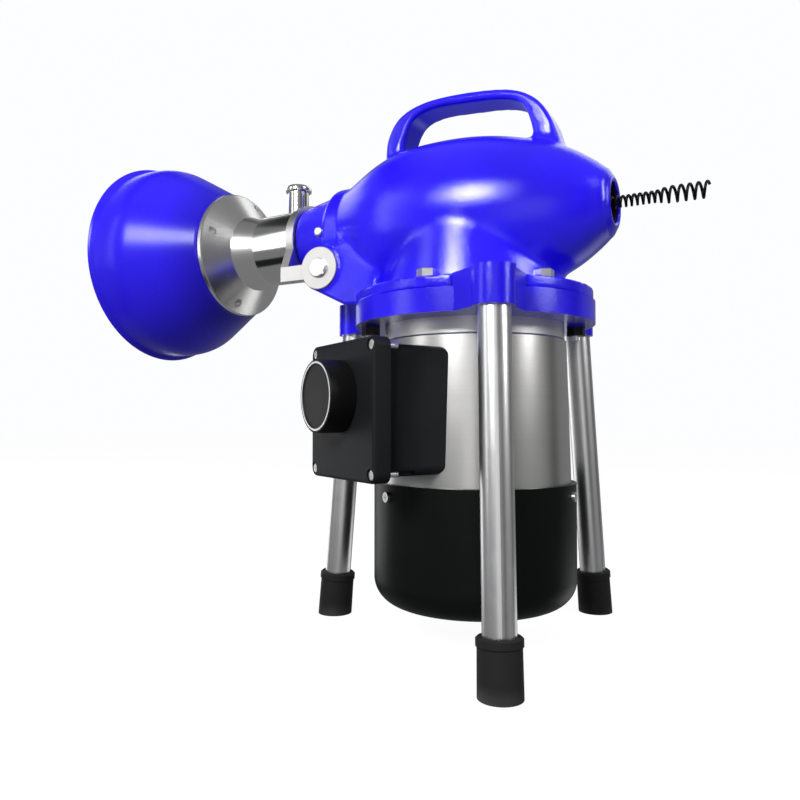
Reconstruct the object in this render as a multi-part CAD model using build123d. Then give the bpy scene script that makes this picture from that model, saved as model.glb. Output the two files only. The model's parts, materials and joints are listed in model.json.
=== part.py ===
from build123d import *
import math
import os

# Sectional drain cleaning machine.
# Millimetres, +Z up, spindle along X, bell towards -X, cable leaving towards +X.
# Everything is drawn about the vertical motor axis, with the floor at z = 0,
# and moved at the end so that the origin is the centre of the footprint.

# ---------------------------------------------------------------- driving dimensions
SPINDLE_Z = 328.0            # height of the hollow spindle's axis
LEG_TUBE_R = 11.0            # 22 mm leg tubes
LEG_WALL = 1.5
LEG_FOOT_CIRCLE = 133.2      # radius of the circle through the feet
LEG_SPLAY = 0.0841           # mm outwards for each mm down
LEG_TOP_Z = 263.0
LEG_AZIMUTHS = {"front": -60.0, "back": 60.0, "bell_side": 180.0}
MOTOR_TOP_R = 71.0           # turned ring of the upper end shield
SHELL_TOP_R = 72.5
SHELL_FOOT_R = 75.5
SHELL_TOP_Z = 231.0
SHELL_FOOT_Z = 121.0
COVER_R = 79.5
COVER_BOTTOM_Z = 26.0
COVER_WALL = 2.0
RING_R = 94.5                # leg ring
RING_LOW_Z = 243.0
RING_TOP_Z = 260.0
LOBE_R = 14.6                # round boss about each leg
FLANGE_R = 93.0              # housing flange
FLANGE_TOP_Z = 269.0
NECK_FOOT_R = 72.0
NECK_TOP_R = 63.0
CAST_WALL = 7.0
BOLT_CIRCLE = 82.5
SCREW_AZIMUTHS = [-90.0, -30.0]     # screws that end in the leg ring
BOLT_AZIMUTHS = [30.0, 90.0]        # bolts through both castings
STUD_AZIMUTHS = [150.0, 210.0]      # under the arms, where a bolt head has no room
BOLT_R = 4.0
HEX_R = 7.4                  # corner radius of bolt heads and nuts
BOLT_HOLE_R = 4.2
STUD_TOP_Z = 267.0
BOLT_LOW_Z = 233.0
SCREW_LOW_Z = 246.0

SPINDLE_R = 17.45
SPINDLE_BORE_R = 13.0
JAW_HEAD_R = 22.0
BEARING_R = 27.5             # 35 x 55 x 10 ball bearing
BEARING_BORE_R = 17.5
BEARING_WIDTH = 10.0
FRONT_BEARING_X = -116.0
REAR_BEARING_X = 74.0
NOSE_TIP_X = -154.0
NOSE_BORE_R = 29.2
CABLE_R = 8.0
TAIL_X = 112.6               # end of the casting
TAIL_HOLE_R = 14.6
BUSH_SEAT_R = 17.0
BUSH_BORE_R = 13.4
BUSH_END_X = 110.0

GEAR_TEETH = 35
PINION_TEETH = 10
GEAR_PITCH_R = 42.0
PINION_PITCH_R = GEAR_PITCH_R * PINION_TEETH / GEAR_TEETH
GEAR_FACE = 12.0

PIVOT_X = -115.5             # the head tilts about a pair of screws below the nose
PIVOT_Z = 294.0
PIVOT_BOSS_R = 18.5
PIVOT_SCREW_R = 4.0
PIVOT_HEAD_R = 8.0
PIVOT_HEAD_DEPTH = 2.8
PIVOT_DISC_R = 17.6
PIVOT_DISC_DEPTH = 1.6
ARM_INNER_Y = 41.6
ARM_OUTER_Y = 50.0
EAR_INNER_Y = 36.0
EAR_OUTER_Y = 41.0

YOKE_X = (-163.0, -155.0)
YOKE_R = 35.0
YOKE_BORE_R = 30.0
COLLAR_X = (-203.5, -163.0)
COLLAR_R = 31.7
TUBE_R = 27.0
TUBE_BORE_R = 24.0
PLUNGER_X = -175.0
CONE_FLANGE_X = -244.5
CONE_FLANGE_R = 57.7
BELL_MOUTH_X = -343.4
BELL_WALL = 3.0

BOX_AZIMUTH = -120.0         # switch box, between two legs
BOX_FACE_R = 118.8
BOX_Z = 176.0
LID_SIZE = (100.0, 99.0, 13.0)
BASE_SIZE = (92.0, 91.0)
KNOB_Z = 186.0
KNOB_R = 26.0
KNOB_DEPTH = 19.0

RUNNING = 0.05               # radial clearance of a shaft in its bearing
GAP = 0.4                    # clearance between pieces that move past each other


# ---------------------------------------------------------------- helpers
def about_spindle(shape):
    """Put a shape drawn about X at z = 0 on the spindle's axis."""
    return Pos(0, 0, SPINDLE_Z) * shape


def rod_x(start, end, radius, bore=0.0):
    """Round bar or tube on the spindle's axis from x = start to x = end."""
    length = end - start
    bar = Cylinder(radius, length)
    if bore:
        bar = bar - Cylinder(bore, length)
    return Pos((start + end) / 2, 0, SPINDLE_Z) * Rot(0, 90, 0) * bar


def rod_z(low, high, radius, bore=0.0):
    """Round bar or tube on the motor's axis from z = low to z = high."""
    length = high - low
    bar = Cylinder(radius, length)
    if bore:
        bar = bar - Cylinder(bore, length)
    return Pos(0, 0, (low + high) / 2) * bar


def rod_y(start, end, radius, x, z):
    """Round bar along Y."""
    length = end - start
    return Pos(x, (start + end) / 2, z) * Rot(90, 0, 0) * Cylinder(radius, length)


def slab(low, high):
    """Box between two opposite corners."""
    size = [b - a for a, b in zip(low, high)]
    middle = [(a + b) / 2 for a, b in zip(low, high)]
    return Pos(*middle) * Box(*size)


def turned_x(outline):
    """Solid turned about the spindle from (x, radius) corners."""
    corners = [(x, SPINDLE_Z + r) for x, r in outline]
    face = Plane.XZ * make_face(Polyline(*corners, close=True))
    return revolve(face, Axis((0, 0, SPINDLE_Z), (1, 0, 0)))


def turned_z(outline):
    """Solid turned about the motor axis from (radius, z) corners."""
    face = Plane.XZ * make_face(Polyline(*outline, close=True))
    return revolve(face, Axis.Z)


def smooth_turned_x(outline):
    """Solid turned about the spindle, with a smooth curve through (x, radius) points."""
    points = [(x, SPINDLE_Z + r) for x, r in outline]
    curve = Spline(*points)
    end_line = Polyline(points[-1], (points[-1][0], SPINDLE_Z), (points[0][0], SPINDLE_Z), points[0])
    face = Plane.XZ * make_face(curve + end_line)
    return revolve(face, Axis((0, 0, SPINDLE_Z), (1, 0, 0)))


def polar(radius, azimuth):
    """Point on a circle about the motor axis."""
    angle = math.radians(azimuth)
    return radius * math.cos(angle), radius * math.sin(angle)


def around(azimuths, shape):
    """Copies of a shape drawn at azimuth 0, turned about the motor axis."""
    return [Rot(0, 0, azimuth) * shape for azimuth in azimuths]


def group(shapes):
    """Separate solids kept in one node."""
    solids = [solid for shape in shapes for solid in shape.solids()]
    return Compound(solids)


def both_sides(shape):
    """A shape and its mirror image across the XZ plane."""
    return [shape, mirror(shape, Plane.XZ)]


# ---------------------------------------------------------------- gearbox housing
BODY_OUTLINE = [(-104, 43.2), (-92, 49.0), (-76, 56.6), (-55, 63.4), (-30, 66.0), (0, 65.6),
                (30, 61.6), (55, 55.0), (78, 46.2), (96, 35.0), (108, 25.0)]
HANDLE_TOP = [(-75, 376), (-73, 402), (-62.5, 420), (-44, 428.4), (-14, 430.3), (20, 427.2),
              (44, 421), (60, 409), (70, 391), (78, 366)]
HANDLE_UNDER = [(58, 366), (52.5, 394), (45, 411), (32, 417.3), (0, 421.6), (-30, 423.2),
                (-47, 418.6), (-56, 404), (-57.5, 376)]
HANDLE_WIDTH = 28.0


def body_shell():
    """Outside of the fish-shaped casting with its nose."""
    body = smooth_turned_x(BODY_OUTLINE)
    tail = turned_x([(107, 0), (107, 25.6), (108.6, 24.9), (110.2, 22.6), (110.8, 20.4),
                     (112.2, 19.8), (TAIL_X, 18.8), (TAIL_X, 0)])
    band = turned_x([(-119, 0), (-119, 41.2), (-117.2, 43.2), (-103, 43.2), (-103, 0)])
    nose = turned_x([(NOSE_TIP_X, 0), (NOSE_TIP_X, 32.4), (-120, 39.0), (-110, 39.0), (-110, 0)])
    return body + tail + band + nose


def neck():
    """Round column between the body and the flange."""
    return turned_z([(0, 262), (NECK_FOOT_R, 262), (NECK_FOOT_R, 272), (NECK_TOP_R, 322), (0, 322)])


def carrying_handle():
    """Cast strap over the body."""
    top = Spline(*HANDLE_TOP)
    under = Spline(*HANDLE_UNDER)
    front_foot = Line(HANDLE_TOP[-1], HANDLE_UNDER[0])
    rear_foot = Line(HANDLE_UNDER[-1], HANDLE_TOP[0])
    face = Plane.XZ * make_face(top + front_foot + under + rear_foot)
    strap = extrude(face, HANDLE_WIDTH / 2, both=True)
    long_edges = [edge for edge in strap.edges() if edge.length > 150]
    return fillet(long_edges, 2.6)


def head_arm():
    """One of the two cast arms that carry the pivot screws."""
    boss = rod_y(-ARM_OUTER_Y, -ARM_INNER_Y, PIVOT_BOSS_R, PIVOT_X, PIVOT_Z)
    web_outline = [(PIVOT_X - 8, PIVOT_Z - PIVOT_BOSS_R + 1.8), (-92, 262), (-62, 262), (-56, 316),
                   (-88, 318), (PIVOT_X + 10, PIVOT_Z + 15.4)]
    face = Plane.XZ * make_face(Polyline(*web_outline, close=True))
    web_half = (ARM_OUTER_Y - ARM_INNER_Y - 1) / 2
    web = Pos(0, -ARM_INNER_Y - web_half, 0) * extrude(face, web_half, both=True)
    return boss + web


def housing_cavity():
    """Inside of the casting: bores, bearing seats, gear space and the open bottom."""
    front = turned_x([(-160, 0), (-160, NOSE_BORE_R), (FRONT_BEARING_X, NOSE_BORE_R),
                      (FRONT_BEARING_X, BEARING_R), (-106, BEARING_R), (-106, 22), (-98, 22), (-98, 0)])
    inside = [(x, r - CAST_WALL) for x, r in BODY_OUTLINE if -100 < x < 70]
    gear_space = turned_x([(-98, 0), (-98, 30)] + inside + [(70, 42), (74, 30), (74, 0)])
    rear_end = REAR_BEARING_X + BEARING_WIDTH
    rear = turned_x([(70, 0), (70, BEARING_R), (rear_end, BEARING_R), (rear_end, 22),
                     (90, 22), (90, BUSH_SEAT_R), (BUSH_END_X, BUSH_SEAT_R), (BUSH_END_X, TAIL_HOLE_R),
                     (120, TAIL_HOLE_R), (120, 0)])
    opening = turned_z([(0, 250), (62, 250), (62, 275), (55, 312), (0, 312)])
    return front + gear_space + rear + opening


def lobe(grow=0.0):
    """Leg boss at azimuth 0 with concave flanks that run into the ring."""
    low, high = RING_LOW_Z, FLANGE_TOP_Z
    if grow:
        low, high = RING_LOW_Z - 5, FLANGE_TOP_Z + 5
    centre = LEG_FOOT_CIRCLE - LEG_SPLAY * (RING_LOW_Z + FLANGE_TOP_Z) / 2
    column = Pos(centre, 0, (low + high) / 2) * Cylinder(LOBE_R + grow, high - low)
    half = 25.0 + grow
    outline = Polyline((76, -half), (90, -half), (centre, -13.0 - grow), (centre, 13.0 + grow),
                       (90, half), (76, half), close=True)
    web = extrude(Pos(0, 0, low) * make_face(outline), high - low)
    return column + web


def make_housing():
    azimuths = list(LEG_AZIMUTHS.values())
    flange = rod_z(RING_TOP_Z, FLANGE_TOP_Z, FLANGE_R)
    for recess in around(azimuths, lobe(grow=GAP)):
        flange = flange - recess
    arms = both_sides(head_arm())
    solid = body_shell() + neck() + flange + carrying_handle() + arms[0] + arms[1]
    solid = solid - housing_cavity()
    through_hole = Pos(BOLT_CIRCLE, 0, 264) * Cylinder(BOLT_HOLE_R, 30)
    blind_hole = Pos(BOLT_CIRCLE, 0, STUD_TOP_Z - 10) * Cylinder(BOLT_HOLE_R, 20)
    screw_hole = rod_y(-ARM_OUTER_Y - 5, -ARM_INNER_Y + 5, PIVOT_SCREW_R, PIVOT_X, PIVOT_Z)
    spring_pocket = rod_y(-EAR_INNER_Y - 0.5, -30.5, 8.4, PIVOT_X, PIVOT_Z)
    holes = around(SCREW_AZIMUTHS + BOLT_AZIMUTHS, through_hole) + around(STUD_AZIMUTHS, blind_hole)
    for hole in holes + both_sides(screw_hole) + both_sides(spring_pocket):
        solid = solid - hole
    return solid - make_nose_screws()


# ---------------------------------------------------------------- fixed pieces of the gearbox
def make_exit_bush():
    """Round bush in the tail, behind the raised rim of the cable hole."""
    return rod_x(91, BUSH_END_X - 0.1, BUSH_SEAT_R - 0.02, BUSH_BORE_R)


def bearing_outer(start):
    """Outer ring of a spindle bearing."""
    return rod_x(start, start + BEARING_WIDTH, BEARING_R, BEARING_R - 3.0)


def bearing_inner(start):
    """Inner ring of a spindle bearing with its balls."""
    ball_r = 1.9
    pitch_r = (BEARING_BORE_R + BEARING_R) / 2
    ring = rod_x(start, start + BEARING_WIDTH, BEARING_BORE_R + 3.0, BEARING_BORE_R)
    middle = start + BEARING_WIDTH / 2
    balls = [about_spindle(Rot(angle, 0, 0) * Pos(middle, 0, pitch_r) * Sphere(ball_r))
             for angle in range(0, 360, 24)]
    return group([ring] + balls)


def make_front_circlip():
    """Spring ring that keeps the front bearing in its seat."""
    clip = rod_x(FRONT_BEARING_X - 1.6, FRONT_BEARING_X, NOSE_BORE_R, NOSE_BORE_R - 3.0)
    return clip - slab((FRONT_BEARING_X - 3, -4, SPINDLE_Z - 40), (FRONT_BEARING_X + 1, 4, SPINDLE_Z))


def pivot_screw():
    """Slotted shoulder screw in the front arm: its journal carries the ear of the yoke."""
    seat_y = -ARM_OUTER_Y - PIVOT_DISC_DEPTH
    head = rod_y(seat_y - PIVOT_HEAD_DEPTH, seat_y, PIVOT_HEAD_R, PIVOT_X, PIVOT_Z)
    shank = rod_y(seat_y, -EAR_INNER_Y + 0.5, PIVOT_SCREW_R, PIVOT_X, PIVOT_Z)
    slot = Pos(PIVOT_X, seat_y - PIVOT_HEAD_DEPTH, PIVOT_Z) * Rot(0, 40, 0) * Box(20, 2.4, 1.9)
    return fillet(head.edges().group_by(Axis.Y)[0], 1.0) + shank - slot


def pivot_disc():
    """Bare machined disc between the front arm and the head of its screw."""
    disc = rod_y(-ARM_OUTER_Y - PIVOT_DISC_DEPTH, -ARM_OUTER_Y, PIVOT_DISC_R, PIVOT_X, PIVOT_Z)
    disc = chamfer(disc.edges().group_by(Axis.Y)[0], 0.5)
    return disc - rod_y(-ARM_OUTER_Y - 5, -ARM_OUTER_Y + 1, PIVOT_SCREW_R, PIVOT_X, PIVOT_Z)


def make_nose_screws():
    """Two dome-headed screws at the sides of the nose."""
    dome = rod_y(-40.2, -37.6, 4.2, -125, SPINDLE_Z)
    dome = fillet(dome.edges().group_by(Axis.Y)[0], 1.8)
    shank = rod_y(-38.0, -32.0, 2.4, -125, SPINDLE_Z)
    return group(both_sides(dome + shank))


def hex_bolt(low):
    """Flange bolt at azimuth 0: head above the flange, shank down to z = low."""
    head = Pos(BOLT_CIRCLE, 0, FLANGE_TOP_Z) * extrude(RegularPolygon(HEX_R, 6), 6.4)
    return chamfer(head.edges().group_by(Axis.Z)[-1], 0.8) + stud(low, FLANGE_TOP_Z)


def stud(low, top):
    """Threaded rod at azimuth 0 from z = low up to z = top."""
    return Pos(BOLT_CIRCLE, 0, (low + top) / 2) * Cylinder(BOLT_R, top - low)


def hex_nut():
    """Nut under the leg ring at azimuth 0."""
    nut = Pos(BOLT_CIRCLE, 0, RING_LOW_Z - 6.5) * extrude(RegularPolygon(HEX_R, 6), 6.5)
    return nut - Pos(BOLT_CIRCLE, 0, RING_LOW_Z) * Cylinder(BOLT_R, 20)


# ---------------------------------------------------------------- legs
def leg_frame(azimuth):
    """Place at a leg's foot, with its Z up along the leg."""
    tilt = math.degrees(math.atan(LEG_SPLAY))
    return Rot(0, 0, azimuth) * Pos(LEG_FOOT_CIRCLE, 0, 0) * Rot(0, -tilt, 0)


def leg_length():
    """Length of a leg tube along its own axis."""
    return LEG_TOP_Z * math.hypot(1.0, LEG_SPLAY)


def make_leg(azimuth):
    """Polished tube from inside the rubber foot to the socket in the ring."""
    start = 8.0
    length = leg_length() - start
    tube = Cylinder(LEG_TUBE_R, length) - Cylinder(LEG_TUBE_R - LEG_WALL, length)
    return leg_frame(azimuth) * Pos(0, 0, start + length / 2) * tube


def make_foot(azimuth):
    """Rubber foot, flat underneath, with a lip at the top of its cup."""
    outline = [(0, -8), (14.6, -8), (14.2, 30), (15.0, 31), (15.0, 35.5), (13.6, 36.8), (0, 36.8)]
    block = revolve(Plane.XZ * make_face(Polyline(*outline, close=True)), Axis.Z)
    block = block - Pos(0, 0, 8 + 20) * Cylinder(LEG_TUBE_R, 40)
    foot = leg_frame(azimuth) * block
    return foot - Pos(0, 0, -50) * Box(600, 600, 100)


def make_leg_ring():
    """Cast ring between the motor and the gearbox, with three leg bosses."""
    ring = rod_z(RING_LOW_Z, RING_TOP_Z, RING_R)
    for boss in around(LEG_AZIMUTHS.values(), lobe()):
        ring = ring + boss
    ring = ring - rod_z(RING_LOW_Z - 5, FLANGE_TOP_Z + 5, MOTOR_TOP_R + 0.1)
    ring = ring - rod_z(RING_TOP_Z, FLANGE_TOP_Z + 5, FLANGE_R - 6)
    for azimuth in LEG_AZIMUTHS.values():
        socket = leg_frame(azimuth) * Pos(0, 0, leg_length() / 2) * Cylinder(LEG_TUBE_R, leg_length())
        ring = ring - socket
    bolt_hole = Pos(BOLT_CIRCLE, 0, 250) * Cylinder(BOLT_HOLE_R, 40)
    blind_hole = Pos(BOLT_CIRCLE, 0, SCREW_LOW_Z - 1 + 20) * Cylinder(BOLT_HOLE_R, 40)
    for hole in around(BOLT_AZIMUTHS + STUD_AZIMUTHS, bolt_hole) + around(SCREW_AZIMUTHS, blind_hole):
        ring = ring - hole
    return ring


# ---------------------------------------------------------------- motor, fixed pieces
TOP_BEARING_Z = (246.0, 260.0)
LOW_BEARING_Z = (104.0, 116.0)
TOP_BEARING_R = 23.5
LOW_BEARING_R = 20.0
MOTOR_SHAFT_R = 10.0
PINION_BORE_R = 6.0
PINION_SEAT_Z = 279.3


def make_end_shield():
    """Turned aluminium end shield that closes the top of the motor and the gear space."""
    skirt = rod_z(SHELL_TOP_Z + 0.5, RING_TOP_Z, MOTOR_TOP_R, 65.0)
    plate = rod_z(244, RING_TOP_Z, 65.0)
    spigot = rod_z(RING_TOP_Z, 264, 61.7)
    bore = rod_z(200, TOP_BEARING_Z[1], TOP_BEARING_R)
    shaft_hole = rod_z(200, 300, 14.0)
    return skirt + plate + spigot - bore - shaft_hole


def make_shaft_seal():
    """Lip seal that keeps the gear grease out of the motor."""
    return rod_z(TOP_BEARING_Z[1] + 0.2, 263.8, 14.0, MOTOR_SHAFT_R + 0.3)


def make_motor_shell():
    """Finely turned aluminium shell of the motor, slightly wider at the foot."""
    outline = [(69, SHELL_FOOT_Z), (SHELL_FOOT_R, SHELL_FOOT_Z), (SHELL_TOP_R, SHELL_TOP_Z - 1),
               (SHELL_TOP_R - 1, SHELL_TOP_Z), (69, SHELL_TOP_Z)]
    shell = turned_z(outline)
    return shell + rod_z(SHELL_TOP_Z, SHELL_TOP_Z + 0.5, 69.5, 69.0)


def make_stator_core():
    """Stack of stator plates pressed into the shell, with open slots at the bore."""
    core = rod_z(140, 210, 68.98, 40.0)
    slot = Pos(43, 0, 175) * Box(14, 3.2, 72)
    for cut in around(range(0, 360, 15), slot):
        core = core - cut
    return core


def make_windings():
    """Wound end turns above and below the stator plates."""
    ring = turned_z([(48, 0), (66, 0), (66, 13), (62, 17), (52, 17), (48, 13)])
    upper = Pos(0, 0, 210) * ring
    lower = mirror(ring, Plane.XY)
    return group([upper, Pos(0, 0, 140) * lower])


def make_low_shield():
    """Lower end shield with the spigot that carries the fan cover."""
    disc = rod_z(114, SHELL_FOOT_Z, SHELL_FOOT_R, 69.0) + rod_z(114, 119, 69.0)
    rim = rod_z(104, 114, 75.0, 70.0)
    hub = rod_z(LOW_BEARING_Z[0], 119, LOW_BEARING_R + 5)
    spigot = rod_z(119, 124, 68.9, 66.0)
    shape = disc + rim + hub + spigot - rod_z(90, LOW_BEARING_Z[1], LOW_BEARING_R)
    for hole in around(COVER_SCREW_AZIMUTHS, cover_screw_hole()):
        shape = shape - hole
    return shape - rod_z(90, 200, 12.0)


def motor_bearing_outer(span, radius):
    """Outer ring of a motor bearing."""
    return rod_z(span[0], span[1], radius, radius - 4.0)


def motor_bearing_inner(span, radius):
    """Inner ring and balls of a motor bearing."""
    inner_r = MOTOR_SHAFT_R + 3.0
    ball_r = (radius - 4.0 - inner_r) / 2 - 0.1
    pitch_r = inner_r + ball_r + 0.05
    middle = (span[0] + span[1]) / 2
    ring = rod_z(span[0], span[1], inner_r, MOTOR_SHAFT_R)
    ball = Pos(pitch_r, 0, middle) * Sphere(ball_r)
    return [ring] + around(range(0, 360, 45), ball)


def make_fan_cover():
    """Deep cup over the fan, with a rounded bottom edge and air slots."""
    top = SHELL_FOOT_Z
    cup = rod_z(COVER_BOTTOM_Z, top, COVER_R)
    cup = fillet(cup.edges().group_by(Axis.Z)[0], 21.0)
    hollow = rod_z(COVER_BOTTOM_Z + COVER_WALL, top + 1, COVER_R - COVER_WALL)
    hollow = fillet(hollow.edges().group_by(Axis.Z)[0], 19.0)
    ledge = rod_z(104, top, COVER_R - COVER_WALL, SHELL_FOOT_R + 0.1)
    slot = Pos(36, 0, COVER_BOTTOM_Z) * Box(30, 3.6, 12)
    cup = cup - hollow + ledge
    for cut in around(range(0, 360, 15), slot) + around(COVER_SCREW_AZIMUTHS, cover_screw_hole()):
        cup = cup - cut
    return cup


COVER_SCREW_AZIMUTHS = [-120.0, 0.0, 120.0]
COVER_SCREW_Z = 112.0
COVER_SCREW_R = 2.0


def cover_screw_hole():
    """Radial hole at azimuth 0 for a cover screw."""
    return Pos(COVER_R, 0, COVER_SCREW_Z) * Rot(0, 90, 0) * Cylinder(COVER_SCREW_R + 0.02, 20)


def cover_screw():
    """Pan screw at azimuth 0 through the cover into the lower end shield."""
    head = Pos(COVER_R + 1.1, 0, COVER_SCREW_Z) * Rot(0, 90, 0) * Cylinder(3.8, 2.2)
    cross = Pos(COVER_R + 2.2, 0, COVER_SCREW_Z) * (Box(1.6, 4.4, 0.9) + Box(1.6, 0.9, 4.4))
    shank = Pos(COVER_R - 4, 0, COVER_SCREW_Z) * Rot(0, 90, 0) * Cylinder(COVER_SCREW_R, 8)
    return head + shank - cross


# ---------------------------------------------------------------- rotor
def make_motor_shaft():
    """Motor shaft, stepped down to the pinion's seat."""
    return rod_z(62, PINION_SEAT_Z, MOTOR_SHAFT_R - 0.01) + rod_z(PINION_SEAT_Z, 298.5, PINION_BORE_R - 0.01)


def make_rotor_core():
    """Cast squirrel cage rotor with short end rings."""
    body = rod_z(140, 210, 39.4)
    end_rings = rod_z(134, 216, 36.0, 28.0)
    return body + end_rings - rod_z(100, 250, MOTOR_SHAFT_R - 0.01)


def make_fan():
    """Cooling fan with straight blades."""
    hub = rod_z(66, 92, 16)
    back = rod_z(88, 91, 62)
    blade = Pos(40, 0, 75) * Box(48, 2.4, 28)
    fan = hub + back
    for vane in around(range(0, 360, 45), blade):
        fan = fan + vane
    return fan - rod_z(50, 120, MOTOR_SHAFT_R - 0.01)


# ---------------------------------------------------------------- bevel gears
CONE_DISTANCE = math.hypot(GEAR_PITCH_R, PINION_PITCH_R)
SHRINK = 1.0 - GEAR_FACE / CONE_DISTANCE
TOOTH_OUT = 1.55
TOOTH_IN = 2.1


def bevel_tooth(pitch_r, mate_r, half_root, half_pitch, half_tip):
    """One straight bevel tooth on +X of a gear whose axis is Z and whose apex is the origin."""
    angle = math.atan2(pitch_r, mate_r)
    across = (math.cos(angle), math.sin(angle))

    def corner(height, half, scale):
        radius = pitch_r + height * across[0]
        level = -mate_r + height * across[1]
        return (radius * scale, half * scale, level * scale)

    faces = []
    for scale in (1.0, SHRINK):
        points = [corner(-TOOTH_IN - 0.6, half_root, scale), corner(0, half_pitch, scale),
                  corner(TOOTH_OUT, half_tip, scale), corner(TOOTH_OUT, -half_tip, scale),
                  corner(0, -half_pitch, scale), corner(-TOOTH_IN - 0.6, -half_root, scale)]
        faces.append(make_face(Polyline(*points, close=True)))
    return loft(faces, ruled=True)


def bevel_root(pitch_r, mate_r):
    """Root cone of a bevel gear whose axis is Z and whose apex is the origin."""
    angle = math.atan2(pitch_r, mate_r)
    outer = (pitch_r - TOOTH_IN * math.cos(angle), -mate_r - TOOTH_IN * math.sin(angle))
    inner = (outer[0] * SHRINK, outer[1] * SHRINK)
    return outer, inner


def bevel_wheel(pitch_r, mate_r, teeth, halves, back, phase):
    """Bevel gear blank with teeth. back is the depth of the solid hub behind the teeth."""
    outer, inner = bevel_root(pitch_r, mate_r)
    outline = [(0, inner[1]), inner, outer, (outer[0], outer[1] - back), (0, outer[1] - back)]
    wheel = revolve(Plane.XZ * make_face(Polyline(*outline, close=True)), Axis.Z)
    tooth = bevel_tooth(pitch_r, mate_r, *halves)
    for number in range(teeth):
        wheel = wheel + Rot(0, 0, phase + number * 360 / teeth) * tooth
    return wheel


def make_pinion():
    """Ten-tooth bevel pinion on the motor shaft, one tooth towards +X."""
    wheel = bevel_wheel(PINION_PITCH_R, GEAR_PITCH_R, PINION_TEETH, (1.75, 1.30, 0.62), 6.0, 0.0)
    placed = Pos(0, 0, SPINDLE_Z) * wheel
    return placed - rod_z(200, 400, PINION_BORE_R)


def make_ring_gear():
    """Thirty-five-tooth bevel gear keyed to the spindle: a tooth at the top, so a gap at the pinion."""
    wheel = bevel_wheel(GEAR_PITCH_R, PINION_PITCH_R, GEAR_TEETH, (1.95, 1.30, 0.70), 8.0, 0.0)
    placed = Pos(0, 0, SPINDLE_Z) * Rot(0, -90, 0) * wheel
    bore = rod_x(-40, 80, SPINDLE_R)
    keyway = slab((-40, -3, SPINDLE_Z + 10), (80, 3, SPINDLE_Z + SPINDLE_R + 2.6))
    return placed - bore - keyway


# ---------------------------------------------------------------- spindle and clutch
JAW_X = (-146.0, -130.0)
JAW_WIDTH = 9.0
JAW_ANGLES = {"top": 0.0, "front": 120.0, "back": 240.0}
JAW_SLOPE = 0.5              # radial travel for each mm of sleeve travel
JAW_OPEN_R = 9.4
JAW_BACK_R = 25.2            # sleeve's cone at the front end of the jaws
SLEEVE_R = 28.3
SLEEVE_BORE_R = JAW_HEAD_R + GAP
PIN_X = -156.8               # yoke pins that move the sleeve
PIN_R = 1.4


def make_spindle():
    """Hollow spindle with the slotted jaw head at the front."""
    tube = rod_x(-118, 90, SPINDLE_R)
    head = rod_x(-152, -118, JAW_HEAD_R)
    spindle = tube + head - rod_x(-160, 100, SPINDLE_BORE_R)
    play = 0.1
    for angle in JAW_ANGLES.values():
        half = JAW_WIDTH / 2 + play
        slot = slab((JAW_X[0] - play, -half, 0), (JAW_X[1] + play, half, 40))
        spindle = spindle - about_spindle(Rot(angle, 0, 0) * slot)
    return spindle - key_slot(SPINDLE_R - 2.6, 40)


def key_slot(low, high):
    """Keyway on top of the spindle under the ring gear."""
    return slab((13, -3, SPINDLE_Z + low), (29, 3, SPINDLE_Z + high))


def make_gear_key():
    """Flat key between the ring gear and the spindle."""
    return slab((13, -3, SPINDLE_Z + SPINDLE_R - 2.6), (29, 3, SPINDLE_Z + SPINDLE_R + 2.6))


def sleeve_cone_radius(x):
    """Radius of the sleeve's cone at x, at rest."""
    return JAW_BACK_R - (x - JAW_X[0]) * JAW_SLOPE


def make_jaw(angle):
    """Clamping jaw with a hollow gripping face and a sloping back."""
    front, back = JAW_X
    outline = [(front, 0), (front, sleeve_cone_radius(front) - 0.3),
               (back, sleeve_cone_radius(back) - 0.3), (back, 0)]
    wedge = turned_x(outline)
    half = JAW_WIDTH / 2
    block = about_spindle(Rot(angle, 0, 0) * slab((front, -half, 0), (back, half, 40)))
    return (wedge & block) - rod_x(front - 1, back + 1, JAW_OPEN_R)


def make_sleeve():
    """Clutch sleeve: a groove for the yoke's pins in front and a cone over the jaws."""
    lip_r = 25.6
    groove_r = 24.0
    groove = (PIN_X - PIN_R - 0.25, PIN_X + PIN_R + 0.25)
    cone_front = JAW_X[0] - 1.2
    cone_back = JAW_X[0] + (JAW_BACK_R - SLEEVE_BORE_R) / JAW_SLOPE
    front = groove[0] - 1.2
    back = -121.5
    return turned_x([(front, lip_r), (groove[0], lip_r), (groove[0], groove_r), (groove[1], groove_r),
                     (groove[1], lip_r), (-152.5, lip_r), (-150.5, SLEEVE_R), (back, SLEEVE_R),
                     (back, SLEEVE_BORE_R), (cone_back, SLEEVE_BORE_R),
                     (cone_front, sleeve_cone_radius(cone_front)), (cone_front, SLEEVE_BORE_R),
                     (front, SLEEVE_BORE_R)])


# ---------------------------------------------------------------- drain cable
AUGER_WIRE_R = 1.0
AUGER_START_X = 92.0
AUGER_LENGTH = 84.0
AUGER_NARROW_R = 3.6
AUGER_NARROW_PITCH = 4.0
AUGER_WIDE_R = 5.3
AUGER_WIDE_PITCH = 5.7
AUGER_WIDENS_AT = 47.0
AUGER_WIDENING = 12.0
POINTS_PER_TURN = 10


def make_drain_cable():
    """Tightly wound cable through the spindle, with its coupling and its tapered end."""
    return turned_x([(-238, 0), (-238, 7.0), (-237, CABLE_R), (84, CABLE_R), (90, 4.7), (AUGER_START_X, 4.7),
                     (AUGER_START_X, 0)])


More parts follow.
